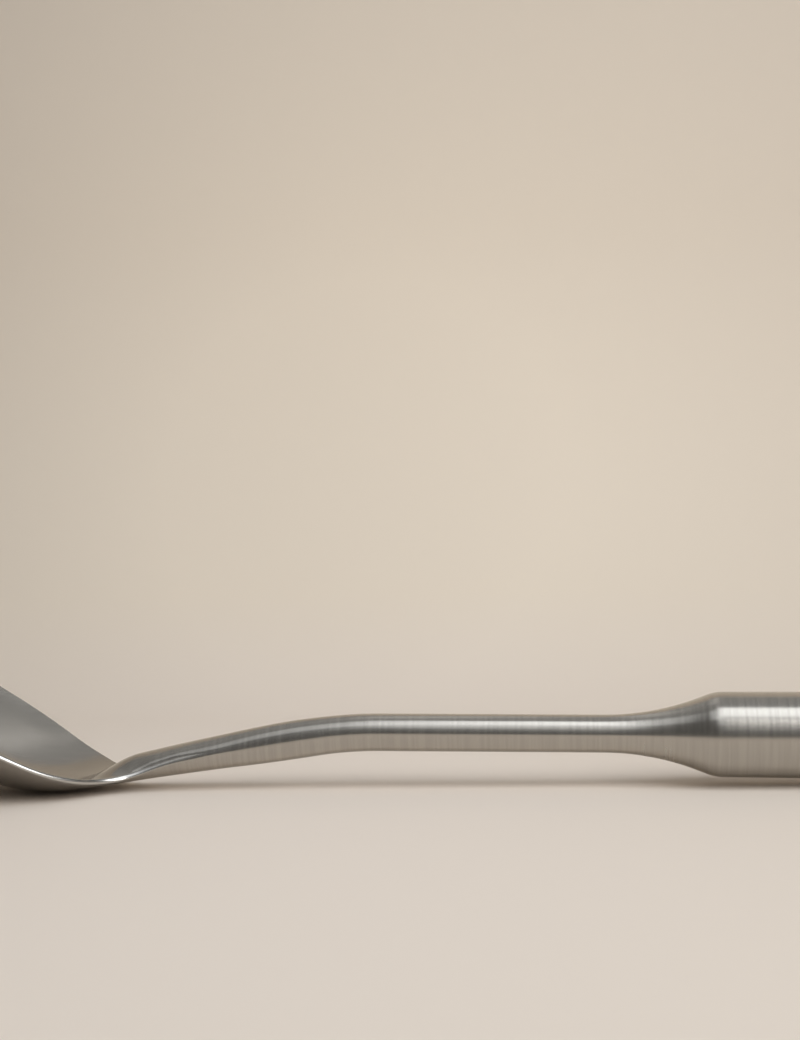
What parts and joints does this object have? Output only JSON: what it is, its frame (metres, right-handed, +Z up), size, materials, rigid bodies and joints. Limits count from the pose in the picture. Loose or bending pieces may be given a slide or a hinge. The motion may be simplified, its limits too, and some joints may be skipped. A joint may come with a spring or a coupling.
{
  "type": "solid serving spoon",
  "caption": "Solid serving spoon in one piece: an oval bowl set at an angle to a slim round neck that flares into a plain round handle, for stirring and serving.",
  "frame": {"origin": "Centre of the spoon's bounding box on the surface that it lies on, with the underside of the bowl and the end of the handle at z = 0.", "axes": "+X runs from the bowl's tip to the handle's end, +Y is across the spoon, and +Z is up, out of the bowl's hollow."},
  "size_m": [0.3384, 0.0622, 0.0479],
  "materials": {
    "steel": "satin stainless steel with fine brush lines round the neck, flare and handle, and a polished rim round the bowl"
  },
  "bodies": {
    "root": {"spoon": "steel"}
  },
  "joints": []
}
